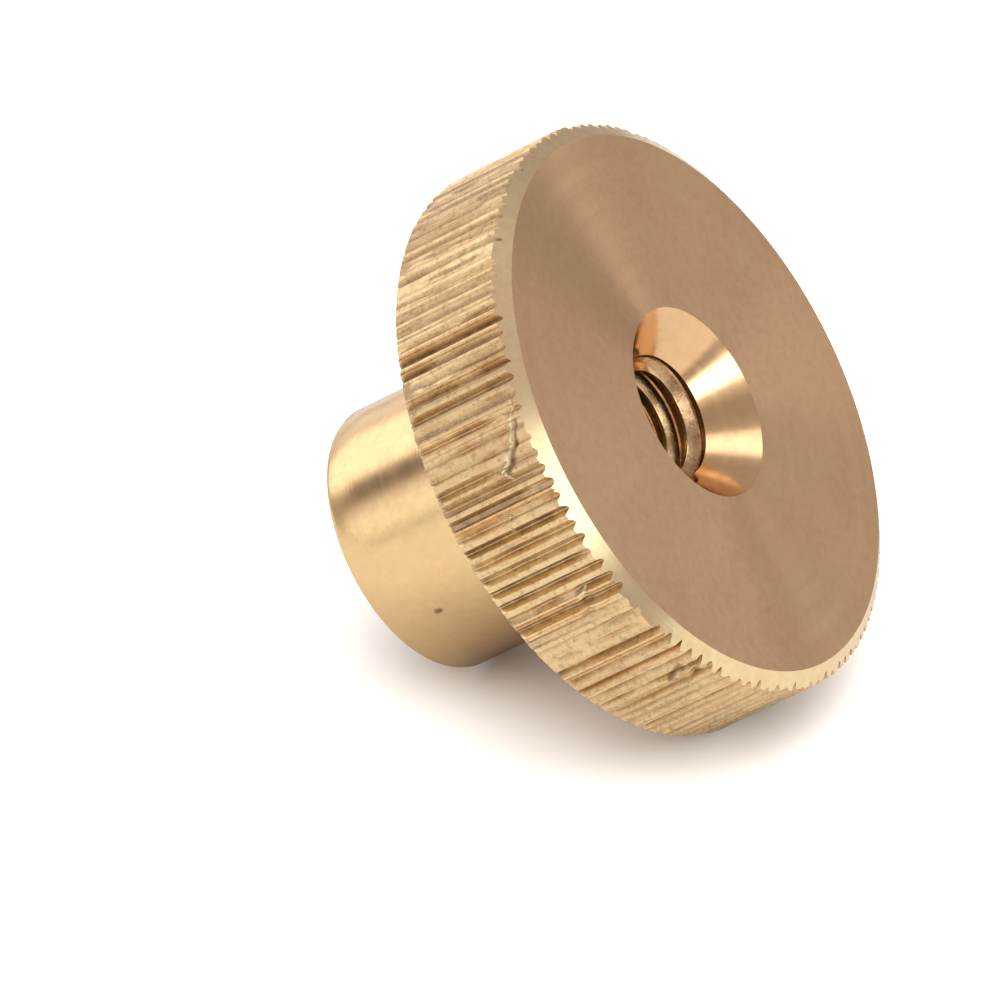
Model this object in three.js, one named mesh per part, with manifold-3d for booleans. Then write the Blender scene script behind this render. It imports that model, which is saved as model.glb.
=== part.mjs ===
// Knurled brass thumb nut, high pattern: a straight-knurled round head on a plain cylindrical boss,
// turned from one bar, with a tapped hole right through and a countersink in the head's face.
//
// Frame: millimetres, +Z along the thread axis, from the boss towards the head. The origin is the
// centre of the boss's end face, which is the face that clamps the work.

import * as THREE from "three";
import { mergeVertices } from "three/addons/utils/BufferGeometryUtils.js";
import Module from "manifold-3d";

// Driving dimensions, in millimetres.
const headDiameter = 19.05; // over the knurl's crests
const headThickness = 4.35;
const overallHeight = 11.5; // from the boss's end face to the head's face
const bossDiameter = 8.9;

const faceChamferRadial = 0.54; // the shallow bevel round the head's face
const faceChamferAxial = 0.37;
const backChamfer = 0.25; // at 45 degrees, round the head's back edge
const bossChamfer = 0.2; // at 45 degrees, round the boss's end face

const knurlTeeth = 120;
const knurlDepth = 0.26;
const knurlCrestShare = 0.16; // of one tooth's pitch that is flat at the crest
const knurlRootShare = 0.1; // and at the root

const threadMajorDiameter = 4.166; // number 8, 32 threads to the inch
const threadDepth = 0.355;
const threadPitch = 25.4 / 32;
const threadFlankAngle = THREE.MathUtils.degToRad(30); // of each flank from square to the axis
const threadCrestShare = 0.25; // of one pitch that is flat at the minor diameter

const countersinkDiameter = threadMajorDiameter + 2.184;
const countersinkAngle = THREE.MathUtils.degToRad(82); // included
const bossLeadInDiameter = threadMajorDiameter + 0.534; // of the small one in the boss's end
const bossLeadInAngle = THREE.MathUtils.degToRad(90); // included

// Facets, and how far a cutting tool runs past the face that it cuts.
const roundSegments = 96;
const boreSegments = 32;
const threadSegments = 24;
const toolOverrun = 0.5;

const headRadius = headDiameter / 2;
const bossRadius = bossDiameter / 2;
const bossLength = overallHeight - headThickness;

const wasm = await Module();
wasm.setup();

// A closed three.js geometry as a manifold-3d solid.
function solidOf(geometry) {
  const bare = geometry.clone();
  for (const name of Object.keys(bare.attributes)) {
    if (name !== "position") bare.deleteAttribute(name);
  }
  const merged = mergeVertices(bare, 1e-4);
  return new wasm.Manifold(
    new wasm.Mesh({
      numProp: 3,
      vertProperties: new Float32Array(merged.attributes.position.array),
      triVerts: new Uint32Array(merged.index.array),
    }),
  );
}

// A manifold-3d solid as a three.js geometry.
function geometryOf(solid) {
  const mesh = solid.getMesh();
  const geometry = new THREE.BufferGeometry();
  geometry.setAttribute("position", new THREE.BufferAttribute(mesh.vertProperties, 3));
  geometry.setIndex(new THREE.BufferAttribute(mesh.triVerts, 1));
  geometry.computeVertexNormals();
  return geometry;
}

// A solid of revolution about +Z. The profile is a list of [radius, height] that starts and ends on
// the axis and runs upwards.
function turned(profile, segments) {
  const points = profile.map(([radius, height]) => new THREE.Vector2(radius, height));
  return solidOf(new THREE.LatheGeometry(points, segments).rotateX(Math.PI / 2));
}

// The head's cross-section: one trapezium tooth for each pitch, with its flanks sloping from the
// crest circle down to the root circle.
function knurlOutline() {
  const pitch = (2 * Math.PI) / knurlTeeth;
  const rootRadius = headRadius - knurlDepth;
  const halfCrest = (knurlCrestShare * pitch) / 2;
  const halfRoot = (knurlRootShare * pitch) / 2;
  const outline = [];
  for (let tooth = 0; tooth < knurlTeeth; tooth++) {
    const crest = tooth * pitch;
    const root = crest + pitch / 2;
    outline.push([headRadius, crest - halfCrest], [headRadius, crest + halfCrest]);
    outline.push([rootRadius, root - halfRoot], [rootRadius, root + halfRoot]);
  }
  return new THREE.Shape(
    outline.map(([r, angle]) => new THREE.Vector2(r * Math.cos(angle), r * Math.sin(angle))),
  );
}

// The knurled head: the toothed prism, turned down to a bevel at each edge as a lathe tool does.
function head() {
  const prism = new THREE.ExtrudeGeometry(knurlOutline(), {
    depth: headThickness,
    bevelEnabled: false,
  });
  prism.translate(0, 0, bossLength);
  const blankRadius = headRadius + toolOverrun;
  const backSlope = 1;
  const faceSlope = faceChamferAxial / faceChamferRadial;
  const bevels = turned(
    [
      [0, bossLength],
      [headRadius - backChamfer, bossLength],
      [blankRadius, bossLength + (backChamfer + toolOverrun) * backSlope],
      [blankRadius, overallHeight - (faceChamferRadial + toolOverrun) * faceSlope],
      [headRadius - faceChamferRadial, overallHeight],
      [0, overallHeight],
    ],
    knurlTeeth,
  );
  return solidOf(prism).intersect(bevels);
}

// The plain boss. It runs up to the middle of the head, so the two join over a full section.
function boss() {
  return turned(
    [
      [0, 0],
      [bossRadius - bossChamfer, 0],
      [bossRadius, bossChamfer],
      [bossRadius, bossLength + headThickness / 2],
      [0, bossLength + headThickness / 2],
    ],
    roundSegments,
  );
}

// The tap: a right-hand screw that runs past both ends of the nut. Each column of points climbs one
// pitch further round, so the last column meets the first one a full thread higher.
function tap() {
  const majorRadius = threadMajorDiameter / 2;
  const minorRadius = majorRadius - threadDepth;
  const flank = ((majorRadius - minorRadius) * Math.tan(threadFlankAngle)) / threadPitch;
  const profile = [
    [minorRadius, 0],
    [minorRadius, threadCrestShare],
    [majorRadius, threadCrestShare + flank],
    [majorRadius, 1 - flank],
  ];
  const turns = Math.ceil((overallHeight + 2 * toolOverrun) / threadPitch) + 1;
  const startHeight = -toolOverrun - threadPitch;
  const rows = turns * profile.length + 1;
  const positions = [];
  for (let column = 0; column < threadSegments; column++) {
    const share = column / threadSegments;
    const angle = 2 * Math.PI * share;
    for (let row = 0; row < rows + profile.length; row++) {
      const [radius, along] = profile[row % profile.length];
      const turn = Math.floor(row / profile.length);
      const height = startHeight + (turn + along + share) * threadPitch;
      positions.push(radius * Math.cos(angle), radius * Math.sin(angle), height);
    }
  }
  const bottom = positions.length / 3;
  positions.push(0, 0, startHeight - toolOverrun);
  const top = bottom + 1;
  positions.push(0, 0, startHeight + (turns + 2) * threadPitch + toolOverrun);

  // The point at a column and row, where the column may be one past the last.
  const point = (column, row) => {
    const wrapped = column === threadSegments;
    const stride = rows + profile.length;
    return (wrapped ? 0 : column * stride) + row + (wrapped ? profile.length : 0);
  };
  const faces = [];
  for (let column = 0; column < threadSegments; column++) {
    for (let row = 0; row < rows - 1; row++) {
      const a = point(column, row);
      const b = point(column + 1, row);
      const c = point(column + 1, row + 1);
      const d = point(column, row + 1);
      faces.push(a, b, c, a, c, d);
    }
    faces.push(bottom, point(column + 1, 0), point(column, 0));
    faces.push(top, point(column, rows - 1), point(column + 1, rows - 1));
  }
  for (let row = 0; row < profile.length; row++) {
    faces.push(bottom, point(0, row), point(0, row + 1));
    faces.push(top, point(0, rows + row), point(0, rows + row - 1));
  }
  const geometry = new THREE.BufferGeometry();
  geometry.setAttribute("position", new THREE.Float32BufferAttribute(positions, 3));
  geometry.setIndex(faces);
  return solidOf(geometry);
}

// A cone that opens from the axis to a given diameter at a given height and beyond, pointing up
// (direction 1) or down (direction -1).
function countersink(diameter, angle, height, direction) {
  const depth = diameter / 2 / Math.tan(angle / 2);
  const wide = diameter / 2 + toolOverrun * Math.tan(angle / 2);
  const profile = [
    [0, height - direction * depth],
    [wide, height + direction * toolOverrun],
    [0, height + direction * toolOverrun],
  ];
  return turned(direction > 0 ? profile : profile.reverse(), boreSegments);
}

const nutSolid = head()
  .add(boss())
  .subtract(tap())
  .subtract(countersink(countersinkDiameter, countersinkAngle, overallHeight, 1))
  .subtract(countersink(bossLeadInDiameter, bossLeadInAngle, 0, -1));

const brass = new THREE.MeshStandardMaterial({
  color: 0xc79a63,
  roughness: 0.38,
  metalness: 1.0,
});

const thumbNut = new THREE.Mesh(geometryOf(nutSolid), brass);
thumbNut.name = "thumb_nut_body";

const part = new THREE.Group();
part.add(thumbNut);

export default part;
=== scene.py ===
# %% [markdown]
# # A knurled brass thumb nut
# The real nut is one piece of brass bar, turned on a lathe: a round head with a straight knurl for
# the fingers, a smooth boss below it, and a tapped hole with a countersink in the head's face.
# Everything here is in metres and in the part's own frame: the thread axis is Z, and the boss's
# end face is at height zero.

# %% Load the frame
import math

import bmesh
import bpy
import numpy as np
from mathutils import Matrix, Vector


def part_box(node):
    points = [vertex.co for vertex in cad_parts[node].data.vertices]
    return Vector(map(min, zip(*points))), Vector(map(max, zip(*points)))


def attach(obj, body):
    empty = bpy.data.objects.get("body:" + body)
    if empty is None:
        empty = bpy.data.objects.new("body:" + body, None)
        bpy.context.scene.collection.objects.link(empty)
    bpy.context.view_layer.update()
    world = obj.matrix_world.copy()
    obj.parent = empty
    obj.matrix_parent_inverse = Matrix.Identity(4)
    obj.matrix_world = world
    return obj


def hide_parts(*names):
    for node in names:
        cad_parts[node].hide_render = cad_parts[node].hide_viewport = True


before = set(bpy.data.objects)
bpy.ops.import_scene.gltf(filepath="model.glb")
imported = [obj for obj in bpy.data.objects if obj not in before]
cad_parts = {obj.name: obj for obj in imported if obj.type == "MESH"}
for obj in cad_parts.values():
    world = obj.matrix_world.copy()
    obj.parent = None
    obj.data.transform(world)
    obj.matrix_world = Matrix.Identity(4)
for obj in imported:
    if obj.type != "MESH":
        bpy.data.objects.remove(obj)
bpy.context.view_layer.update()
nut_low, nut_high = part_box("thumb_nut_body")
height = nut_high[2] - nut_low[2]
crest_radius = (nut_high[0] - nut_low[0]) / 2
mm = 0.001
print(f"height {height / mm:.2f} mm, head diameter {2 * crest_radius / mm:.2f} mm")

# %% [markdown]
# ## Which way is up
# A loose thumb nut doesn't stand on its boss: it lies over on its side. Two rims carry it, the back
# rim of the head and the rim of the boss's end. The part can't be turned, because it shares its
# frame with the measured model, so the studio is tilted round it instead. The line through the two
# rims' lowest points gives the floor's slope, and the floor's upward direction follows from it.

# %% The tilted studio
boss_radius = 4.45 * mm
head_back = 7.15 * mm
lean = math.atan2(crest_radius - boss_radius, head_back)
lying_side = math.radians(-45)
floor_up = Vector(
    (
        math.cos(lean) * math.cos(lying_side),
        math.cos(lean) * math.sin(lying_side),
        math.sin(lean),
    )
)
boss_contact = Vector(
    (-boss_radius * math.cos(lying_side), -boss_radius * math.sin(lying_side), 0)
)
print("floor leans", round(math.degrees(lean), 1), "degrees from the thread axis")

# %% [markdown]
# ## The camera
# The camera comes before the pieces. It is far away with a long lens, so the nut shows almost no
# perspective and its rims stay close to true ellipses. It could be aimed with a constraint, but a
# plain rotation built from two directions is easier to read and needs nothing else in the scene.

# %% Camera
camera_azimuth, camera_elevation = math.radians(120.24), math.radians(31.87)
towards_camera = Vector(
    (
        math.sin(camera_azimuth) * math.cos(camera_elevation),
        -math.cos(camera_azimuth) * math.cos(camera_elevation),
        math.sin(camera_elevation),
    )
)
camera_right = floor_up.cross(towards_camera).normalized()
camera_up = towards_camera.cross(camera_right)
aim = Vector((-1.358, -0.713, 2.465)) * mm
camera_distance = 0.381

camera_data = bpy.data.cameras.new("studio_camera")
camera_data.lens = 434.7
camera_data.sensor_width = 36
camera_data.clip_start, camera_data.clip_end = 0.01, 10
camera = bpy.data.objects.new("studio_camera", camera_data)
turn = Matrix((camera_right, camera_up, towards_camera)).transposed()
eye = aim + camera_distance * towards_camera
camera.matrix_world = Matrix.Translation(eye) @ turn.to_4x4()
bpy.context.collection.objects.link(camera)
bpy.context.scene.camera = camera
print("camera looks down at", round(math.degrees(math.asin(towards_camera.dot(floor_up))), 1))

# %% [markdown]
# ## Floor, light tent and lamps
# Brass is a mirror with a colour, so its look is mostly an image of what stands round it. The nut
# lies on white card inside a white tent. Directions in the studio are given as right, away and up,
# as seen from the camera, because lights are easier to think of that way than along tilted axes.
# A few short helpers add objects and shader nodes, so that a later step can read as one line.

# %% Studio directions
tent_away = -(towards_camera - towards_camera.dot(floor_up) * floor_up).normalized()


def studio(right, away, up):
    return right * camera_right + away * tent_away + up * floor_up


def add_object(name, data):
    thing = bpy.data.objects.new(name, data)
    bpy.context.collection.objects.link(thing)
    return thing


print("away from the camera is", [round(part, 2) for part in tent_away])


# %% Node helpers
def wire(tree, source, target):
    tree.links.new(source, target)


def feed(tree, value, target):
    """Wire a socket to another one, or set its own value."""
    if isinstance(value, bpy.types.NodeSocket):
        wire(tree, value, target)
    else:
        target.default_value = value


def node(tree, kind, **settings):
    made = tree.nodes.new(kind)
    for name, value in settings.items():
        setattr(made, name, value)
    return made


def math_node(tree, operation, first, second, clamp=False):
    made = node(tree, "ShaderNodeMath", operation=operation, use_clamp=clamp)
    feed(tree, first, made.inputs[0])
    feed(tree, second, made.inputs[1])
    return made.outputs[0]


def vector_node(tree, operation, first, second=None, scale=None):
    """One step of vector arithmetic: gives a number for a length or a product, else a vector."""
    made = node(tree, "ShaderNodeVectorMath", operation=operation)
    feed(tree, first, made.inputs[0])
    if second is not None:
        feed(tree, second, made.inputs[1])
    if scale is not None:
        feed(tree, scale, made.inputs["Scale"])
    is_number = operation in ("DOT_PRODUCT", "LENGTH", "DISTANCE")
    return made.outputs["Value" if is_number else "Vector"]


def ramp(tree, value, low, high, to_low=0.0, to_high=1.0, style="LINEAR"):
    """Map low..high onto to_low..to_high and stop at both ends."""
    made = node(tree, "ShaderNodeMapRange", interpolation_type=style)
    feed(tree, value, made.inputs["Value"])
    feed(tree, low, made.inputs["From Min"])
    feed(tree, high, made.inputs["From Max"])
    feed(tree, to_low, made.inputs["To Min"])
    feed(tree, to_high, made.inputs["To Max"])
    return made.outputs["Result"]


def mix_colour(tree, amount, first, second):
    made = node(tree, "ShaderNodeMix", data_type="RGBA")
    feed(tree, amount, made.inputs[0])
    feed(tree, first, made.inputs[6])
    feed(tree, second, made.inputs[7])
    return made.outputs[2]


print("node helpers: wire, feed, node, math_node, vector_node, ramp, mix_colour")


# %% [markdown]
# The world shader paints the tent: a dim wall, with brighter and darker patches where the panels
# and the gaps are. Every panel could be a mesh, but a patch in the world costs nothing and is moved
# by changing one direction. Only rays that bounce off the metal see the patches: the Light Path
# node tells them apart. All other rays see an even, plain light, so a reflection can be moved
# without changing the shadow on the card. Where the tent is dim it is tinted a little warm.

# %% The tent as a world
bpy.context.scene.view_settings.view_transform = "Standard"
bpy.context.scene.view_settings.look = "None"
world = bpy.data.worlds.new("light_tent")
world.use_nodes = True
bpy.context.scene.world = world
tent = world.node_tree
tent.nodes.clear()
looking = node(tent, "ShaderNodeTexCoord").outputs["Generated"]


def tent_patch(direction, reach, soft, strength):
    """Brightness added round one direction, out to reach degrees, with a soft edge."""
    towards = studio(*direction).normalized()
    nearness = vector_node(tent, "DOT_PRODUCT", looking, towards)
    outer = math.cos(math.radians(reach + soft))
    inner = math.cos(math.radians(max(reach - soft, 0)))
    return ramp(tent, nearness, outer, inner, 0.0, strength, style="SMOOTHSTEP")


# Direction, reach in degrees, softness in degrees, brightness.
tent_patches = [
    ((0.04, 0.1, 1.0), 11, 7, 1.4),  # the roof light
    ((0.35, 0.1, 0.93), 24, 12, 0.15),  # the glow round it
    ((-0.75, 0.5, 0.36), 19, 6, 1.1),  # the panel at the back on the left
    ((-0.93, 0.05, 0.36), 9, 4, -0.2),  # the gap in front of it
    ((-0.84, -0.53, 0.04), 6, 4, -0.3),  # the seam low on the left
    ((-0.9, -0.45, 0.05), 20, 12, 0.7),  # the front wall on the left
    ((-0.35, 0.94, 0.05), 14, 12, 0.55),  # the back wall, low down
    ((0.55, -0.68, 0.48), 18, 8, 0.5),  # the window on the viewer's right
    ((0.40, -0.84, 0.36), 11, 3, 3.0),  # its brightest pane
    ((0.68, -0.5, 0.54), 13, 6, 1.25),  # the pane beside it
]
brightness = 0.45
for patch in tent_patches:
    brightness = math_node(tent, "ADD", tent_patch(*patch), brightness)
print("tent patches:", len(tent_patches))

# %% Light for the metal and for the rest
dim_tint, bright_tint = (1.0, 0.87, 0.84, 1), (1.0, 1.0, 0.98, 1)
tinted_below, white_above = 0.3, 1.2
plain_light, added_for_camera = 0.65, 0.7

in_the_metal = node(tent, "ShaderNodeBackground")
fullness = ramp(tent, brightness, tinted_below, white_above)
feed(tent, mix_colour(tent, fullness, dim_tint, bright_tint), in_the_metal.inputs["Color"])
feed(tent, brightness, in_the_metal.inputs["Strength"])

on_the_card = node(tent, "ShaderNodeBackground")
on_the_card.inputs["Color"].default_value = (1.0, 0.99, 0.97, 1)
path = node(tent, "ShaderNodeLightPath").outputs
seen = math_node(tent, "MULTIPLY", path["Is Camera Ray"], added_for_camera)
feed(tent, math_node(tent, "ADD", seen, plain_light), on_the_card.inputs["Strength"])

tent_light = node(tent, "ShaderNodeMixShader")
wire(tent, path["Is Glossy Ray"], tent_light.inputs[0])
wire(tent, on_the_card.outputs[0], tent_light.inputs[1])
wire(tent, in_the_metal.outputs[0], tent_light.inputs[2])
wire(tent, tent_light.outputs[0], node(tent, "ShaderNodeOutputWorld").inputs[0])
print("plain light", plain_light, "and to the camera", plain_light + added_for_camera)

# %% [markdown]
# Two lamps light the card. The large one, high up, makes the wide soft shadow, and a small weak one
# on the window side adds a little to it. Both are hidden from glossy rays, so neither shows as a
# disc in the metal, and the brass mirrors only the tent and the card.

# %% Lamps
lamp_colour = (1.0, 0.985, 0.96)


def lamp(name, where, size, watts):
    """A round lamp at a studio place, facing the nut."""
    data = bpy.data.lights.new(name, "AREA")
    data.shape, data.size, data.energy = "DISK", size, watts
    data.color = lamp_colour
    thing = add_object(name, data)
    thing.location = studio(*where)
    thing.rotation_mode = "QUATERNION"
    thing.rotation_quaternion = thing.location.to_track_quat("Z", "Y")
    thing.visible_glossy = False


lamp("lamp_above", (0.025, -0.11, 0.28), 0.55, 2.7)
lamp("lamp_window", (0.16, -0.26, 0.15), 0.12, 0.12)

# %% [markdown]
# The card is a large flat disc through the two contact points. It is lit a little past white, so it
# shows as clean white, and only the soft shadow under the nut is drawn on it. The metal sees it at
# half its paleness, because a card this bright would fill the boss and the knurl with white. Its
# lower side is see through, so that a camera below it still sees the nut.

# %% White card
card_radius = 0.9
card_sides = 64
card_gap = 0.02 * mm
card_colour = (0.9, 0.89, 0.88, 1)
card_in_the_metal = (0.45, 0.44, 0.43, 1)

floor_material = bpy.data.materials.new("white_card")
floor_material.use_nodes = True
card = floor_material.node_tree
card_face = card.nodes["Principled BSDF"]
glossy_ray = node(card, "ShaderNodeLightPath").outputs["Is Glossy Ray"]
paleness = mix_colour(card, glossy_ray, card_colour, card_in_the_metal)
wire(card, paleness, card_face.inputs["Base Color"])
card_face.inputs["Roughness"].default_value = 0.9
card_face.inputs["Specular IOR Level"].default_value = 0.1
from_below = node(card, "ShaderNodeMixShader")
wire(card, node(card, "ShaderNodeNewGeometry").outputs["Backfacing"], from_below.inputs[0])
wire(card, card_face.outputs[0], from_below.inputs[1])
wire(card, node(card, "ShaderNodeBsdfTransparent").outputs[0], from_below.inputs[2])
wire(card, from_below.outputs[0], card.nodes["Material Output"].inputs["Surface"])

floor_mesh = bpy.data.meshes.new("white_card")
corners = [
    boss_contact + card_radius * (math.cos(a) * camera_right + math.sin(a) * tent_away)
    for a in np.linspace(0, 2 * math.pi, card_sides, endpoint=False)
]
lowered = [corner - card_gap * floor_up for corner in corners]
floor_mesh.from_pydata(lowered, [], [list(range(card_sides))])
floor_mesh.materials.append(floor_material)
floor = add_object("white_card", floor_mesh)
print("card faces up:", floor_mesh.polygons[0].normal.dot(floor_up) > 0)

# %% [markdown]
# ## The knurl
# A straight knurl is rolled: a toothed wheel is pressed into the bar and raises ridges along it. No
# two ridges come out alike. Some are wide and flat, some are sharp, and where the wheel tracked
# twice a ridge carries a second, fainter groove. A displacement texture could fake this, but the
# ridges' ends show as teeth against the bevel, so each ridge is real mesh. Eight columns of points
# make one ridge, and each ridge draws its own width, depth and lean from a seeded generator.

# %% Ridge columns
teeth = 120
knurl_depth = 0.26 * mm
dice = np.random.default_rng(466)

# Place across one tooth, and how far down the groove the metal is there. The points nearer to the
# middle than ridge_half belong to the ridge, and the other two to the groove's floor.
across_tooth = np.array([-0.34, -0.2, -0.07, 0.07, 0.2, 0.34, 0.45, 0.55])
down_groove = np.array([0.62, 0.06, 0.0, 0.02, 0.1, 0.66, 1.0, 1.0])
ridge_half = 0.4

tooth_shift = np.clip(dice.normal(0, 0.03, teeth), -0.05, 0.05)
tooth_width = dice.uniform(0.75, 1.12, teeth)
tooth_lean = dice.normal(0, 0.16, teeth)
groove_depth = np.clip(dice.normal(0.72, 0.2, teeth), 0.25, 1.0)
crest_drop = np.clip(dice.normal(0.06, 0.07, teeth), 0, 0.25)
second_track = np.where(dice.random(teeth) < 0.55, dice.uniform(0.15, 0.5, teeth), 0.0)

tooth_of = np.repeat(np.arange(teeth), len(across_tooth))
place = np.tile(across_tooth, teeth)
level = np.tile(down_groove, teeth)
on_ridge = np.abs(place) < ridge_half
squeezed = np.where(on_ridge, place * tooth_width[tooth_of], place)
angles = (tooth_of + squeezed + tooth_shift[tooth_of] * on_ridge) * (2 * math.pi / teeth)
columns = len(angles)
ridge_pitch = 2 * math.pi * crest_radius / teeth
print(teeth, "ridges,", columns, "columns, pitch", round(ridge_pitch / mm, 3), "mm")

# %% Ridge depth along the head
def wander(count, points, rough):
    """Random lines that wander round zero: count lines, each of points values."""
    knots = dice.normal(0, rough, (count, 6))
    knot_places = np.arange(knots.shape[1])
    at = np.linspace(0, knot_places[-1], points)
    return np.array([np.interp(at, knot_places, line) for line in knots])


knurl_rows = 48
shallowest = 0.08
lean_share = 0.6
second_column = np.abs(place - across_tooth[3]) < 0.01
deeper = wander(teeth, knurl_rows, 0.16)


def groove_fraction(row):
    """How deep the metal lies below the crest circle at every column of one row, 0 to 1."""
    depth = np.clip(groove_depth + deeper[:, row], shallowest, 1.0)
    before = np.roll(depth, 1)
    half = np.where(place > 0, depth[tooth_of], before[tooth_of])
    lean_now = 1 + tooth_lean[tooth_of] * np.sign(place) * lean_share
    fraction = level * half * lean_now
    fraction = fraction + second_column * second_track[tooth_of] * half
    return np.clip(fraction + crest_drop[tooth_of] * (1 - level), 0, 1)


print("deepest groove", round(float(groove_depth.max() * knurl_depth / mm), 3), "mm")

# %% [markdown]
# ## Knocks
# A nut from a bin carries a few knocks. Each one here is a short stroke on the knurled cylinder. It
# is given by its two ends as angle and height, and by its width and depth, and it pushes the metal
# in along the stroke and raises a small burr beside it. Eight points to a ridge can show a dent but
# not a hair-thin scratch, so the bright scratches are drawn later, in the knurl's finish.

# %% Knock strokes
# Ends as (angle in degrees, height in mm), then width and depth in mm.
knocks = [
    ((22.5, 10.45), (27.0, 9.8), 0.18, 0.05),
    ((53.0, 10.1), (57.5, 9.8), 0.18, 0.09),
    ((80.0, 10.9), (83.0, 10.6), 0.14, 0.12),
    ((-60.0, 9.0), (-57.0, 9.5), 0.14, 0.10),
    ((-142.0, 10.5), (-138.0, 10.0), 0.14, 0.12),
]
burr_offset, burr_width = 1.6, 0.5  # in widths of the stroke
burr_height = 0.25  # as a share of the stroke's depth
burr_ends = 0.002  # where the dent has faded to this, the burr stops


def knocked(angle, z):
    """Radial change in metres at points on the knurl, from every knock."""
    change = np.zeros_like(angle)
    for (a0, z0), (a1, z1), wide, deep in knocks:
        turn_by = (angle - math.radians(a0) + math.pi) % (2 * math.pi) - math.pi
        u = turn_by * crest_radius / mm
        v = z / mm - z0
        run = np.array([math.radians(a1 - a0) * crest_radius / mm, z1 - z0])
        length = np.hypot(*run)
        run = run / length
        along = np.clip(u * run[0] + v * run[1], 0, length)
        off_u, off_v = u - along * run[0], v - along * run[1]
        beside = off_u * run[1] - off_v * run[0]
        near = np.exp(-((off_u**2 + off_v**2) / wide**2))
        from_burr = (beside - burr_offset * wide) ** 2 / (burr_width * wide) ** 2
        burr = np.exp(-from_burr) * (near > burr_ends)
        change += (-deep * near + burr_height * deep * burr) * mm
    return change


print("knocks:", len(knocks))

# %% [markdown]
# ## The turned outline
# Everything outside the hole is one skin, laid out as rows of points from the countersink's rim, out
# over the face and the bevel, down the knurl, in along the head's back, down the boss and across its
# end. On a lathe each of these is one cut, so each gets its own finish later. The bevel was cut
# through the ridges, so a ridge ends where its own radius meets the bevel's cone. Working that
# height out for every column gives the row of teeth along the bevel.

# %% Sizes of the outline
bevel_width = 0.54 * mm
bevel_slope = 0.37 / 0.54  # drop over width
face_edge = crest_radius - bevel_width
back_break = 0.16 * mm  # the small chamfer at the head's back rim
inner_corner = 0.3 * mm  # the radius where the head meets the boss
end_break = 0.2 * mm  # the chamfer on the boss's end
end_round = 0.06 * mm  # how far that chamfer's upper edge is softened
least_break = 0.02 * mm  # what is left of the back chamfer over a deep groove
face_inset, back_inset = 0.06 * mm, 0.1 * mm  # how far rows lie inside a sharp edge
countersink_rim = 3.175 * mm
lead_in_rim = 2.35 * mm
finishes = ["turned_face", "bevel", "knurl", "boss", "countersink", "thread", "join"]
print("face", round(2 * face_edge / mm, 2), "mm across, inside its bevel")

# %% Rows of the face, the knurl and the head's back
rows = []


def ring(radius, z, finish):
    """One row: a radius and a height for every column, and the finish of the band after it."""
    rows.append((np.broadcast_to(radius, columns), np.broadcast_to(z, columns), finish))


for radius in np.linspace(countersink_rim, face_edge - face_inset, 4):
    ring(radius, height, "turned_face")
ring(face_edge, height, "bevel")

first = crest_radius - knurl_depth * groove_fraction(0)
top_edge = height - (first - face_edge) * bevel_slope
last = crest_radius - knurl_depth * groove_fraction(knurl_rows - 1)
bottom_edge = head_back + np.clip(back_break - (crest_radius - last), least_break, None)
for row in range(knurl_rows):
    share = row / (knurl_rows - 1)
    z = top_edge + (bottom_edge - top_edge) * share
    radius = crest_radius - knurl_depth * groove_fraction(row)
    radius = np.minimum(radius + knocked(angles, z), crest_radius)
    if row == 0:
        radius = first
    ring(radius, z, "knurl" if row < knurl_rows - 1 else "bevel")
ring(crest_radius - back_break - back_inset, head_back, "turned_face")
for radius in (8.0, 6.4, 4.75):
    ring(radius * mm, head_back, "turned_face")
print(len(rows), "rows down to the boss")

# %% Rows of the boss
for turn_share in (0.3, 0.6, 0.85):
    bend = turn_share * math.pi / 2
    ring(
        boss_radius + inner_corner * (1 - math.sin(bend)),
        head_back - inner_corner * (1 - math.cos(bend)),
        "boss",
    )
for z in (6.8, 5.0, 3.0, 1.2, 0.22):
    ring(boss_radius, z * mm, "boss")
ring(boss_radius - end_round, end_round, "bevel")
ring(boss_radius - end_break, 0, "turned_face")
ring(3.5 * mm, 0, "turned_face")
ring(lead_in_rim, 0, "turned_face")
print(len(rows), "rows of", columns, "points")

# %% Skin mesh
def skin_mesh(name, row_list, closed_ends=False):
    """A mesh of quads between neighbouring rows, with one material number for each band."""
    r = np.array([row[0] for row in row_list])
    z = np.array([row[1] for row in row_list])
    n = r.shape[1]
    points = np.stack([r * np.cos(angles), r * np.sin(angles), z], axis=-1).reshape(-1, 3)
    quads, marks = [], []
    for i in range(len(row_list) - 1):
        a = i * n + np.arange(n)
        b = i * n + (np.arange(n) + 1) % n
        quads.append(np.stack([a, a + n, b + n, b], axis=-1))
        marks += [finishes.index(row_list[i][2])] * n
    faces = np.concatenate(quads).tolist()
    if closed_ends:
        faces += [list(range(n)), list(range(len(points) - 1, len(points) - 1 - n, -1))]
        marks += [finishes.index("turned_face")] * 2
    mesh = bpy.data.meshes.new(name)
    mesh.from_pydata(points.tolist(), [], faces)
    mesh.polygons.foreach_set("material_index", marks)
    return mesh


skin = skin_mesh("nut_skin", rows)
print(len(skin.polygons), "faces in the skin")

# %% [markdown]
# ## The tapped hole
# The thread in the hole is a number 8 screw thread with 32 turns to the inch, cut by a tap. A
# thread could be drawn as rings, but rings don't climb, and through the countersink the climb shows.
# So the tap itself is built as a helical solid and cut out of a plug with a Boolean modifier, which
# leaves the climbing edge where the thread meets the cone. The tap is longer than the hole, so it
# cuts right through, and its outline is one turn's section, repeated and climbing.

# %% The tap's outline
pitch = 25.4 / 32 * mm
thread_minor, thread_major = 1.728 * mm, 2.083 * mm
soft_edge = 0.03 * mm
flank = (thread_major - thread_minor) * math.tan(math.radians(30)) / pitch

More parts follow.
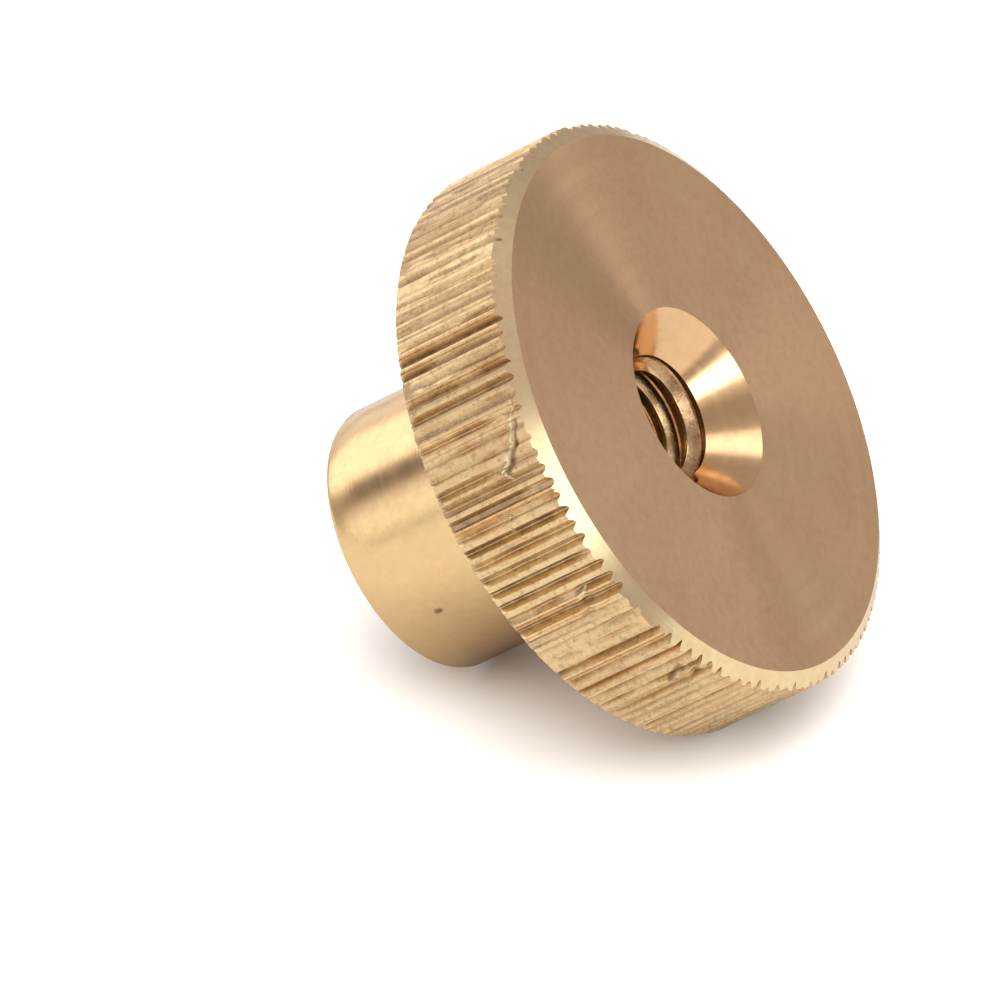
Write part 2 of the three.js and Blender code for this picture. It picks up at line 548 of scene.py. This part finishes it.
# Radius, and height as a share of the pitch.
tap_profile = [
    (thread_minor, 0.0),
    (thread_minor, 0.14),
    (thread_minor + soft_edge, 0.18),
    (thread_major - soft_edge, 0.18 + flank * 0.92),
    (thread_major, 0.23 + flank),
    (thread_major, 0.95 - flank),
    (thread_major - soft_edge, 1.0 - flank * 0.92),
    (thread_minor + soft_edge, 0.98),
]
tap_sides = 120
tap_overrun = 3 * mm
tap_start = -1.5 * mm
tap_turned = 0.4  # radians round the axis
turns = math.ceil((height + tap_overrun) / pitch)
steps = turns * len(tap_profile)
print("tap:", turns, "turns of", round(pitch / mm, 3), "mm")

# %% The tap's helical side
tap_points, tap_faces = [], []
for side in range(tap_sides + 1):
    share = side / tap_sides
    for step in range(steps + 1):
        radius, along = tap_profile[step % len(tap_profile)]
        z = tap_start + (step // len(tap_profile) + along + share - 0.5) * pitch
        around = 2 * math.pi * share + tap_turned
        tap_points.append((radius * math.cos(around), radius * math.sin(around), z))
for side in range(tap_sides):
    for step in range(steps):
        a = side * (steps + 1) + step
        b = a + steps + 1
        tap_faces.append((a, b, b + 1, a + 1))
print(len(tap_faces), "faces round the tap's side")

# %% The tap's two ends
top_centre = len(tap_points)
bottom_centre = top_centre + 1
tap_points += [(0, 0, height + tap_overrun), (0, 0, -tap_overrun)]
for side in range(tap_sides):
    low = side * (steps + 1)
    high = low + steps
    tap_faces.append((top_centre, high, high + steps + 1))
    tap_faces.append((bottom_centre, low + steps + 1, low))
for step in range(len(tap_profile)):
    last_up = tap_sides * (steps + 1) + steps - len(tap_profile) + step
    tap_faces.append((top_centre, last_up + 1, last_up))
    tap_faces.append((bottom_centre, step, step + 1))
tap_mesh = bpy.data.meshes.new("tap")
tap_mesh.from_pydata(tap_points, [], tap_faces)
print("tap:", len(tap_faces), "faces")

# %% The plug
plug_tip = 1.2 * mm  # inside the tap, so that the cones' inner ends are cut away
countersink_slope, lead_in_slope = math.radians(41), math.radians(45)


def as_object(name, mesh):
    mesh.validate()
    mesh.update()
    return add_object(name, mesh)


def plug_row(radius, z, finish):
    return (np.broadcast_to(radius, columns), np.broadcast_to(z, columns), finish)


top_tip = height - (countersink_rim - plug_tip) / math.tan(countersink_slope)
bottom_tip = (lead_in_rim - plug_tip) / math.tan(lead_in_slope)
plug_rows = [
    plug_row(plug_tip, top_tip, "countersink"),
    plug_row(countersink_rim, height, "join"),
    plug_row(lead_in_rim, 0.0, "countersink"),
    plug_row(plug_tip, bottom_tip, "countersink"),
]
plug = as_object("hole_plug", skin_mesh("hole_plug", plug_rows, closed_ends=True))
print("plug narrows to", round(plug_tip / mm, 2), "mm at", round(top_tip / mm, 2), "mm")


# %% Cut the thread
weld_gap = 0.0005 * mm
tap = as_object("tap", tap_mesh)
for thing in (plug, tap):
    for finish in finishes:
        material = bpy.data.materials.get(finish) or bpy.data.materials.new(finish)
        thing.data.materials.append(material)
thread_marks = [finishes.index("thread")] * len(tap_mesh.polygons)
tap.data.polygons.foreach_set("material_index", thread_marks)


def weld(mesh, distance):
    """Weld points closer than distance, and count the edges that don't have two faces."""
    work = bmesh.new()
    work.from_mesh(mesh)
    bmesh.ops.remove_doubles(work, verts=work.verts, dist=distance)
    open_edges = sum(1 for e in work.edges if len(e.link_faces) != 2)
    work.to_mesh(mesh)
    work.free()
    return open_edges


print("open edges in the tap:", weld(tap.data, weld_gap))
cut = plug.modifiers.new("tap_the_hole", "BOOLEAN")
cut.operation, cut.object, cut.solver = "DIFFERENCE", tap, "EXACT"
cut.material_mode = "INDEX"
threaded = bpy.data.meshes.new_from_object(
    plug.evaluated_get(bpy.context.evaluated_depsgraph_get())
)
print(len(threaded.polygons), "faces round the hole")

# %% [markdown]
# The skin and the threaded plug share the two rims, point for point. The plug's outer wall is thrown
# away, the two are welded, and the nut is one closed body again, as the real one is. Edges that turn
# by more than 24 degrees are marked sharp, so flats shade flat and round parts shade round.

# %% Weld the nut
sliver = 0.0002 * mm
sharp_turn = math.radians(24)
work = bmesh.new()
work.from_mesh(skin)
work.from_mesh(threaded)
wall = [f for f in work.faces if f.material_index == finishes.index("join")]
bmesh.ops.delete(work, geom=wall, context="FACES")
bmesh.ops.remove_doubles(work, verts=work.verts, dist=weld_gap)
bmesh.ops.dissolve_degenerate(work, edges=work.edges, dist=sliver)
open_edges = [e for e in work.edges if len(e.link_faces) != 2]
nut_mesh = bpy.data.meshes.new("thumb_nut")
work.to_mesh(nut_mesh)
work.free()
for thing in (plug, tap):
    bpy.data.objects.remove(thing)
nut = add_object("thumb_nut", nut_mesh)
nut_mesh.polygons.foreach_set("use_smooth", [True] * len(nut_mesh.polygons))
nut_mesh.set_sharp_from_angle(angle=sharp_turn)
print("faces", len(nut_mesh.polygons), "open edges", len(open_edges))

# %% [markdown]
# ## Brass, in layers
# Brass straight off the lathe is pale gold, and air slowly turns it browner and duller. So every
# finish on this nut is the same metal in a different state: how much tarnish, how rough, and which
# way the tool marks run. The shared effects are node groups with named sockets. Each works in
# millimetres on the part's own coordinates, so a mark keeps its real size.

# %% Node group helpers
def new_group(name, inputs, outputs):
    """A node group with float, colour or vector sockets; inputs are (name, kind, default)."""
    tree = bpy.data.node_groups.new(name, "ShaderNodeTree")
    kinds = {"f": "NodeSocketFloat", "c": "NodeSocketColor", "v": "NodeSocketVector"}
    for socket_name, kind, default in inputs:
        socket = tree.interface.new_socket(socket_name, in_out="INPUT", socket_type=kinds[kind])
        if default is not None:
            socket.default_value = default
    for socket_name, kind in outputs:
        tree.interface.new_socket(socket_name, in_out="OUTPUT", socket_type=kinds[kind])
    given = tree.nodes.new("NodeGroupInput").outputs
    result = tree.nodes.new("NodeGroupOutput").inputs
    print("group", name, "takes", len(inputs), "and gives", [output[0] for output in outputs])
    return tree, given, result


def use(tree, group, **values):
    """Place a group in a material; an underscore in a name stands for a space."""
    made = node(tree, "ShaderNodeGroup")
    made.node_tree = group
    for name, value in values.items():
        feed(tree, value, made.inputs[name.replace("_", " ")])
    return made.outputs


def noise(tree, where, scale, detail=2.0, rough=0.5, dimensions="3D"):
    made = node(tree, "ShaderNodeTexNoise", noise_dimensions=dimensions)
    wire(tree, where, made.inputs["W" if dimensions == "1D" else "Vector"])
    made.inputs["Detail"].default_value = detail
    made.inputs["Roughness"].default_value = rough
    feed(tree, scale, made.inputs["Scale"])
    return made.outputs["Fac"]


print("group helpers: new_group, use, noise")

# %% [markdown]
# The first group gives the place on the nut: millimetres, the direction straight out from the axis,
# the radius and the height. Tool marks follow the radius on a flat face and the height on a
# cylinder. A last output is squashed along the axis, so noise drawn with it runs along the ridges.

# %% Group: place on the nut
ridge_stretch = 0.16
place_group, given, result = new_group(
    "place_on_the_nut",
    [],
    [
        ("Position", "v"),
        ("Outward", "v"),
        ("Radius", "f"),
        ("Height", "f"),
        ("Along ridge", "v"),
    ],
)
own = node(place_group, "ShaderNodeTexCoord").outputs["Object"]
scaled = vector_node(place_group, "SCALE", own, scale=1 / mm)
split = node(place_group, "ShaderNodeSeparateXYZ")
wire(place_group, scaled, split.inputs[0])
flat = node(place_group, "ShaderNodeCombineXYZ")
wire(place_group, split.outputs[0], flat.inputs[0])
wire(place_group, split.outputs[1], flat.inputs[1])
wire(place_group, scaled, result["Position"])
wire(place_group, vector_node(place_group, "NORMALIZE", flat.outputs[0]), result["Outward"])
wire(place_group, vector_node(place_group, "LENGTH", flat.outputs[0]), result["Radius"])
wire(place_group, split.outputs[2], result["Height"])
stretched = vector_node(place_group, "MULTIPLY", scaled, (1, 1, ridge_stretch))
wire(place_group, stretched, result["Along ridge"])

# %% [markdown]
# Tool marks are the fine spiral that a turning tool leaves. Their spacing is steady but their depth
# isn't, so one noise makes the lines and a coarser one makes some bands deeper than others.

# %% Group: tool marks
marks_group, given, result = new_group(
    "tool_marks",
    [("Across", "f", 0.0), ("Lines per mm", "f", 14.0), ("Banding", "f", 0.5)],
    [("Height", "f"), ("Bands", "f")],
)
fine = noise(marks_group, given["Across"], given["Lines per mm"], 2.0, 0.6, "1D")
coarse = noise(marks_group, given["Across"], 1.7, 3.0, 0.6, "1D")
bands = ramp(marks_group, coarse, 0.35, 0.65)
depth = math_node(marks_group, "MULTIPLY", bands, given["Banding"])
depth = math_node(marks_group, "ADD", depth, 0.5)
wire(marks_group, math_node(marks_group, "MULTIPLY", fine, depth), result["Height"])
wire(marks_group, bands, result["Bands"])

# %% [markdown]
# Tarnish comes in soft clouds with a finer mottle in them. The group blends clean brass into a
# duller brown brass, and also says how dull the metal is, so the same places can be made rougher.

# %% Group: tarnish
tarnish_group, given, result = new_group(
    "tarnish",
    [
        ("Position", "v", None),
        ("Clean brass", "c", (0.9, 0.64, 0.33, 1)),
        ("Dull brass", "c", (0.6, 0.38, 0.2, 1)),
        ("Amount", "f", 0.5),
        ("Contrast", "f", 0.5),
    ],
    [("Color", "c"), ("Dullness", "f")],
)
clouds = noise(tarnish_group, given["Position"], 0.22, 3.0, 0.55)
mottle = noise(tarnish_group, given["Position"], 3.2, 4.0, 0.65)
cloud_part = ramp(tarnish_group, clouds, 0.3, 0.7, -0.5, 0.5)
mottle_part = ramp(tarnish_group, mottle, 0.3, 0.7, -0.5, 0.5)
cloudy = math_node(tarnish_group, "MULTIPLY", cloud_part, 0.6)
mottled = math_node(tarnish_group, "MULTIPLY", mottle_part, 0.7)
unevenness = math_node(tarnish_group, "ADD", cloudy, mottled)
unevenness = math_node(tarnish_group, "MULTIPLY", unevenness, given["Contrast"])
dullness = math_node(tarnish_group, "ADD", given["Amount"], unevenness, clamp=True)
wire(tarnish_group, dullness, result["Dullness"])
blended = mix_colour(tarnish_group, dullness, given["Clean brass"], given["Dull brass"])
wire(tarnish_group, blended, result["Color"])

# %% [markdown]
# Pits and specks are tiny holes from the bar's casting and from chips. A cell pattern gives each
# its own place, and only the few cells whose random value is below the wanted share get one.

# %% Group: pits
pits_group, given, result = new_group(
    "pits",
    [("Position", "v", None), ("Cells per mm", "f", 1.4), ("Share", "f", 0.1)],
    [("Mask", "f")],
)
cells = node(pits_group, "ShaderNodeTexVoronoi")
wire(pits_group, given["Position"], cells.inputs["Vector"])
wire(pits_group, given["Cells per mm"], cells.inputs["Scale"])
chosen = node(pits_group, "ShaderNodeSeparateColor")
wire(pits_group, cells.outputs["Color"], chosen.inputs[0])
picked = math_node(pits_group, "LESS_THAN", chosen.outputs[0], given["Share"])
size = ramp(pits_group, chosen.outputs[1], 0.0, 1.0, 0.04, 0.16)
inside = math_node(pits_group, "DIVIDE", cells.outputs["Distance"], size)
hole = ramp(pits_group, inside, 0.5, 1.0, 1.0, 0.0)
wire(pits_group, math_node(pits_group, "MULTIPLY", hole, picked, clamp=True), result["Mask"])

# %% [markdown]
# This group darkens by radius: the nearer to the bottom of a groove, the darker, with noise to
# break up the edge. In the thread it is painted shade inside the hole. On the knurl it only makes
# the grooves darker towards their bottoms.

# %% Group: groove darkening
groove_darkening_group, given, result = new_group(
    "groove_darkening",
    [
        ("Position", "v", None),
        ("Radius", "f", 0.0),
        ("Clean radius", "f", 9.5),
        ("Dirty radius", "f", 9.3),
        ("Amount", "f", 1.0),
    ],
    [("Mask", "f")],
)
depth = ramp(groove_darkening_group, given["Radius"], given["Clean radius"], given["Dirty radius"])
broken = ramp(
    groove_darkening_group, noise(groove_darkening_group, given["Position"], 2.4, 4.0, 0.6), 0.25, 0.75, 0.45, 1.35
)
edge = math_node(groove_darkening_group, "MULTIPLY", depth, broken)
darkened = math_node(groove_darkening_group, "MULTIPLY", edge, given["Amount"], clamp=True)
wire(groove_darkening_group, darkened, result["Mask"])

# %% [markdown]
# The last group measures how far a place is from one straight scratch, given by its start and its
# run. A texture could hold scratches, but a scratch drawn by its distance stays sharp however close
# the camera comes. The place along the scratch is clamped, which gives it round ends.

# %% Group: scratch
scratch_group, given, result = new_group(
    "scratch",
    [("Position", "v", None), ("Start", "v", None), ("Run", "v", None)],
    [("Distance", "f")],
)
offset = vector_node(scratch_group, "SUBTRACT", given["Position"], given["Start"])
progress = vector_node(scratch_group, "DOT_PRODUCT", offset, given["Run"])
whole = vector_node(scratch_group, "DOT_PRODUCT", given["Run"], given["Run"])
along = math_node(scratch_group, "DIVIDE", progress, whole, clamp=True)
nearest = vector_node(scratch_group, "SCALE", given["Run"], scale=along)
away = vector_node(scratch_group, "DISTANCE", offset, nearest)
wire(scratch_group, away, result["Distance"])
print("node groups:", [g.name for g in bpy.data.node_groups])

# %% [markdown]
# ## The finishes
# One helper lays out what all six finishes share: place, tarnish, tool marks, pits and a bump. A
# turned surface is rougher across its tool marks than along them, and that gives the bow tie of
# light and shade on the head's face. The shader's anisotropy does this, with a tangent that runs
# round the axis as the tool did. The tangent is the radial one, which needs no unwrapped mesh.

# %% Finish helper
clean_brass = (0.91, 0.65, 0.335, 1)
pale_brass = (0.93, 0.74, 0.44, 1)
dull_brass = (0.70, 0.395, 0.235, 1)
# Brown for pits and specks, and also for the painted shade in the thread and along the scratch
# edges.
grime_and_shade_brown = (0.2, 0.115, 0.06, 1)
marks_banding = 0.6
tarnish_roughens, bands_roughen = 0.22, 0.05
pit_depth = 2.0


def brass_finish(
    name,
    tarnished,
    uneven,
    rough,
    marks,
    lines,
    bump,
    pits,
    across="Radius",
    turned=0.0,
    clean=clean_brass,
):
    """A brass material. Returns its tree, shader and the sockets that a finish may build on."""
    material = bpy.data.materials[name]
    material.use_nodes = True
    tree = material.node_tree
    shader = tree.nodes["Principled BSDF"]
    shader.inputs["Metallic"].default_value = 1.0
    where = use(tree, place_group)
    tone = use(
        tree,
        tarnish_group,
        Position=where["Position"],
        Clean_brass=clean,
        Dull_brass=dull_brass,
        Amount=tarnished,
        Contrast=uneven,
    )
    tool = use(
        tree, marks_group, Across=where[across], Lines_per_mm=lines, Banding=marks_banding
    )
    spots = use(tree, pits_group, Position=where["Position"], Share=pits)
    colour = mix_colour(tree, spots["Mask"], tone["Color"], grime_and_shade_brown)
    roughness = math_node(tree, "MULTIPLY", tone["Dullness"], tarnish_roughens)
    banded = math_node(tree, "MULTIPLY", tool["Bands"], bands_roughen)
    roughness = math_node(tree, "ADD", roughness, banded)
    roughness = math_node(tree, "ADD", roughness, rough, clamp=True)
    relief = math_node(tree, "MULTIPLY", tool["Height"], marks)
    sunk = math_node(tree, "MULTIPLY", spots["Mask"], pit_depth)
    relief = math_node(tree, "SUBTRACT", relief, sunk)
    raised = node(tree, "ShaderNodeBump")
    raised.inputs["Strength"].default_value = 1.0
    raised.inputs["Distance"].default_value = bump * mm
    wire(tree, relief, raised.inputs["Height"])
    wire(tree, colour, shader.inputs["Base Color"])
    wire(tree, roughness, shader.inputs["Roughness"])
    wire(tree, raised.outputs["Normal"], shader.inputs["Normal"])
    if turned:
        shader.inputs["Anisotropic"].default_value = turned
        round_axis = node(tree, "ShaderNodeTangent", direction_type="RADIAL", axis="Z")
        wire(tree, round_axis.outputs[0], shader.inputs["Tangent"])
    return {
        "tree": tree,
        "shader": shader,
        "where": where,
        "colour": colour,
        "relief": relief,
        "raised": raised,
    }


print("brass from", clean_brass[:3], "when clean to", dull_brass[:3], "when dull")


# %% [markdown]
# Besides the shader's bow tie, the head's face has a few soft wedges painted into its colour, a
# little lighter or darker than the metal round them: painted light and shade that copy the light and
# dark sectors of the bow tie's reflection. Each wedge multiplies the colour by a number near one.
# More or less tarnish would change the gloss as well, and the gloss of this face is even.

# %% Turned face
# Angle and half width in degrees, then the painted change in brightness.
wedges = [
    (-33, 15, -0.12),
    (-50, 5, 0.07),
    (-75, 12, 0.05),
    (124, 15, -0.12),
    (98, 10, 0.07),
    (150, 10, 0.04),
    (-150, 14, 0.08),
    (-178, 12, -0.05),
]
wedge_fades_at, wedge_full_at = 1.6, 0.4  # in half widths


def painted_sheen_factor(tree, outward):
    """A number near one that rises or falls in wedges round the axis: painted light and shade."""
    amount = 1.0
    for angle, half, change in wedges:
        turn_to = math.radians(angle)
        middle = (math.cos(turn_to), math.sin(turn_to), 0)
        nearness = vector_node(tree, "DOT_PRODUCT", outward, middle)
        edge = math.cos(math.radians(half * wedge_fades_at))
        full = math.cos(math.radians(half * wedge_full_at))
        amount = math_node(tree, "ADD", ramp(tree, nearness, edge, full, 0, change), amount)
    return amount


face_brass = (0.95, 0.69, 0.39, 1)
face = brass_finish(
    "turned_face", 0.46, 0.42, 0.22, 1.0, 12.0, 0.0035, 0.05, turned=0.9, clean=face_brass
)
tone = painted_sheen_factor(face["tree"], face["where"]["Outward"])
# The wedges' painted light and shade scale the face's colour.
shaded = vector_node(face["tree"], "SCALE", face["colour"], scale=tone)
wire(face["tree"], shaded, face["shader"].inputs["Base Color"])
print("wedges on the face:", len(wedges))

# %% [markdown]
# The bevel and the chamfer at the boss's end are the brightest cuts, so they get pale brass and
# little tarnish. The countersink is almost a mirror, but it mostly mirrors its own other side, so
# its colour is deeper.

# %% Bevel and countersink
brass_finish(
    "bevel", 0.12, 0.5, 0.12, 1.0, 16.0, 0.002, 0.04, across="Height", turned=0.4, clean=pale_brass
)
brass_finish("countersink", 0.5, 0.4, 0.01, 1.0, 9.0, 0.002, 0.05, across="Height", turned=0.4)
print("bevel and countersink finished")

# %% [markdown]
# The boss is smooth and fairly clean. One dark pit shows low on it, and it is placed as a
# very short scratch, because the scattered pits can't be told where to fall.

# %% Boss
boss = brass_finish(
    "boss", 0.16, 0.4, 0.09, 1.0, 14.0, 0.0025, 0.08, across="Height", turned=0.6
)
pit_angle, pit_height = math.radians(62), 1.9
boss_pit = (
    boss_radius / mm * math.cos(pit_angle),
    boss_radius / mm * math.sin(pit_angle),
    pit_height,
)
pit_run = (0, 0.02, 0.12)
boss_tree = boss["tree"]
distance = use(
    boss_tree, scratch_group, Position=boss["where"]["Position"], Start=boss_pit, Run=pit_run
)["Distance"]
pitted = ramp(boss_tree, distance, 0.04, 0.14, 0.8, 0.0)
spotted = mix_colour(boss_tree, pitted, boss["colour"], grime_and_shade_brown)
wire(boss_tree, spotted, boss["shader"].inputs["Base Color"])
print("pit at", [round(part, 2) for part in boss_pit], "mm")

# %% [markdown]
# The knurl and the thread have grooves, so they share one more layer: a colour that darkens with
# depth, a speckle of that brown, and streaks in the bump that run along the ridges, as a rolling
# tool leaves them. In the thread the darkening reaches over the crests too and is painted shade
# inside the hole. On the knurl it only darkens towards the groove bottoms.
# The thread mirrors warm brass from every side, so its grazing reflections are tinted brown too.

# %% Grooved finishes
speckle_low, speckle_high, speckle_most = 0.5, 0.72, 0.5
streak_height = 0.35


def grooved_finish(name, undarkened_radius, darkest_radius, darkening, tarnished, rough, clean=clean_brass):
    """A brass finish, darker towards darkest_radius. The colour and relief are the new ones."""
    made = brass_finish(
        name, tarnished, 0.45, rough, 0.3, 11.0, 0.011, 0.02, across="Height", clean=clean
    )
    tree, where = made["tree"], made["where"]
    groove_dark = use(
        tree,
        groove_darkening_group,
        Position=where["Position"],
        Radius=where["Radius"],
        Clean_radius=undarkened_radius,
        Dirty_radius=darkest_radius,
        Amount=darkening,
    )
    grain = noise(tree, where["Position"], 5.5, 3.0, 0.7)
    speckle = ramp(tree, grain, speckle_low, speckle_high, 0.0, speckle_most)
    darkened = mix_colour(tree, groove_dark["Mask"], made["colour"], grime_and_shade_brown)
    made["colour"] = mix_colour(tree, speckle, darkened, grime_and_shade_brown)
    wire(tree, made["colour"], made["shader"].inputs["Base Color"])
    streaks = noise(tree, where["Along ridge"], 9.0, 3.0, 0.6)
    streaks = math_node(tree, "MULTIPLY", streaks, streak_height)
    relief = math_node(tree, "ADD", made["relief"], streaks)
    dimples = noise(tree, where["Position"], 6.5, 4.0, 0.7)
    made["relief"] = math_node(tree, "ADD", relief, dimples)
    wire(tree, made["relief"], made["raised"].inputs["Height"])
    return made


# In the thread the darkening by depth, over the crests too, is painted shade inside the hole.
thread = grooved_finish("thread", 1.5, 1.98, 0.62, 0.3, 0.07)
thread["shader"].inputs["Specular Tint"].default_value = (0.62, 0.44, 0.27, 1)
knurl_brass = (0.93, 0.725, 0.40, 1)
knurl = grooved_finish("knurl", 9.48, 9.26, 0.62, 0.36, 0.26, clean=knurl_brass)
print("grooved finishes: knurl and thread")

# %% [markdown]
# ## Scratches on the knurl
# The largest mark is a hooked gouge across the ridges near the head's face: three bright strokes,
# coloured as fresh metal with a painted highlight, with a painted shade along the edge above them.
# The rest are short nicks, given the same fresh metal and painted highlight, and one more painted
# shade lies near a knock. A scratch runs over crests and grooves alike, so every place is first
# moved straight out to the crest circle, and the distance to the stroke is measured there. Near a
# stroke the bump goes down in the middle and up at the lips.

# %% Scratch strokes
# Ends as (angle in degrees, height in mm), then half the width in mm.
scratches = [
    ((15.4, 11.0), (22.7, 10.4), 0.06),
    ((22.7, 10.4), (26.4, 9.8), 0.075),
    ((26.4, 9.8), (27.9, 10.0), 0.05),
    ((53.2, 10.15), (54.3, 9.85), 0.07),
    ((57.6, 10.1), (58.4, 10.0), 0.05),
    ((36.5, 9.2), (37.0, 9.1), 0.055),
    ((34.0, 9.35), (34.6, 9.3), 0.05),
    ((84.0, 10.2), (85.0, 10.0), 0.055),
]
# Painted shade: dark strips along the far lip of the gouge and near one knock.
painted_shade_edges = [
    ((18.5, 10.95), (22.6, 10.62), 0.05),
    ((22.6, 10.62), (27.0, 10.0), 0.1),
    ((78.0, 10.6), (80.5, 9.9), 0.09),
]
scratch_circle = 9.5  # in mm, just under the crests


def on_the_knurl(angle, z):
    turn_to = math.radians(angle)
    return Vector((scratch_circle * math.cos(turn_to), scratch_circle * math.sin(turn_to), z))


def on_the_circle(tree, where):
    """The place moved straight out to the crest circle, so that a groove's depth doesn't count."""
    out = vector_node(tree, "SCALE", where["Outward"], scale=scratch_circle)
    up = node(tree, "ShaderNodeCombineXYZ")
    wire(tree, where["Height"], up.inputs[2])
    return vector_node(tree, "ADD", out, up.outputs[0])


def stroke_distance(tree, surface, start, end):
    begin, finish = on_the_knurl(*start), on_the_knurl(*end)
    return use(
        tree, scratch_group, Position=surface, Start=tuple(begin), Run=tuple(finish - begin)
    )["Distance"]


print("scratches:", len(scratches), "dark edges:", len(painted_shade_edges))

# %% Scratch the knurl
# Scratch colour, paler than clean brass: fresh metal with a painted highlight on top.
scratch_metal_and_glint = (1.0, 0.86, 0.56, 1)
scratch_depth, lip = 2.6, 0.5
brightest, darkest = 0.85, 0.75
tree, relief = knurl["tree"], knurl["relief"]
surface = on_the_circle(tree, knurl["where"])
bright = 0.0
for start, end, half_width in scratches:
    distance = stroke_distance(tree, surface, start, end)
    lip_at, gone_at = half_width * 1.4, half_width * 2.8
    dent = ramp(tree, distance, 0.0, lip_at, -1.0, lip)
    fade = ramp(tree, distance, lip_at, gone_at, 1.0, 0.0)
    fade = math_node(tree, "MULTIPLY", fade, scratch_depth)
    relief = math_node(tree, "ADD", relief, math_node(tree, "MULTIPLY", dent, fade))
    shine = ramp(tree, distance, half_width * 0.5, half_width * 1.6, 1.0, 0.0)
    bright = math_node(tree, "ADD", bright, shine)
wire(tree, relief, knurl["raised"].inputs["Height"])

# Painted shade along the dark edge strokes.
shade = 0.0
for start, end, half_width in painted_shade_edges:
    distance = stroke_distance(tree, surface, start, end)
    darker = ramp(tree, distance, half_width * 0.4, half_width * 1.5, 1.0, 0.0)
    shade = math_node(tree, "ADD", shade, darker)
shade = math_node(tree, "MULTIPLY", shade, darkest, clamp=True)
metal = mix_colour(tree, shade, knurl["colour"], grime_and_shade_brown)
bright = math_node(tree, "MULTIPLY", bright, brightest, clamp=True)
metal = mix_colour(tree, bright, metal, scratch_metal_and_glint)
wire(tree, metal, knurl["shader"].inputs["Base Color"])
print("scratch circle", scratch_circle, "mm")

# %% Finishes onto the nut
for finish in finishes[:-1]:
    nut_mesh.materials.append(bpy.data.materials[finish])
bpy.data.materials.remove(bpy.data.materials["join"])
print("finishes on the nut:", [m.name for m in nut_mesh.materials])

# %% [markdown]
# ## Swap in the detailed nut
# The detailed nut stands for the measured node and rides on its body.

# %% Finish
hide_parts("thumb_nut_body")
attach(nut, "root")
